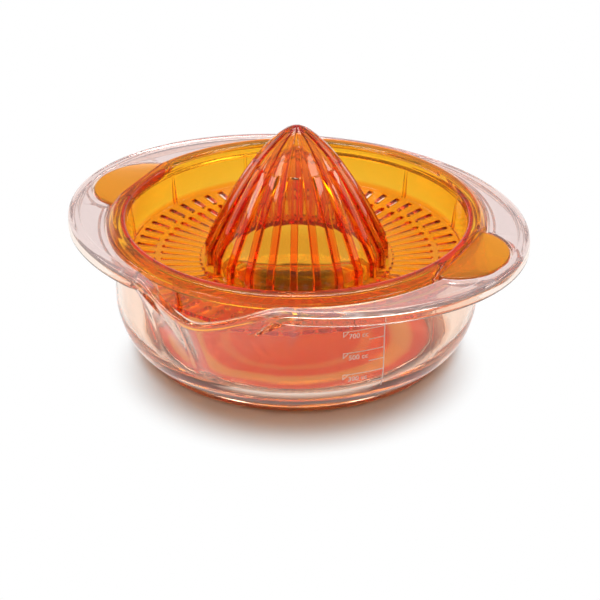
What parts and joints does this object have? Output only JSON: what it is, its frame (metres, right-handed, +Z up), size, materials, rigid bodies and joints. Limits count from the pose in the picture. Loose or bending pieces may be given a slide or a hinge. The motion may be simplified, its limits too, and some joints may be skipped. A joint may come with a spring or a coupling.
{
  "type": "citrus juicer",
  "caption": "Hand citrus juicer: clear bowl with an oval flange and pouring spout, and a lift-out orange reamer with a ribbed cone, slotted strainer tray and side ears.",
  "frame": {"origin": "centre of the foot ring's underside, where the bowl stands on the table", "axes": "+Z up along the reamer cone, +X through the ears, -Y towards the pouring spout"},
  "size_m": [0.21, 0.1872, 0.1038],
  "materials": {
    "clear_plastic": "clear, polished",
    "orange_plastic": "transparent orange, polished"
  },
  "bodies": {
    "bowl": {"bowl": "clear_plastic"},
    "reamer": {"reamer": "orange_plastic"}
  },
  "joints": [
    {"name": "lift_out", "type": "slide", "parent": "bowl", "child": "reamer", "axis": [0, 0, 1], "range_m": [0, 0.06]}
  ]
}
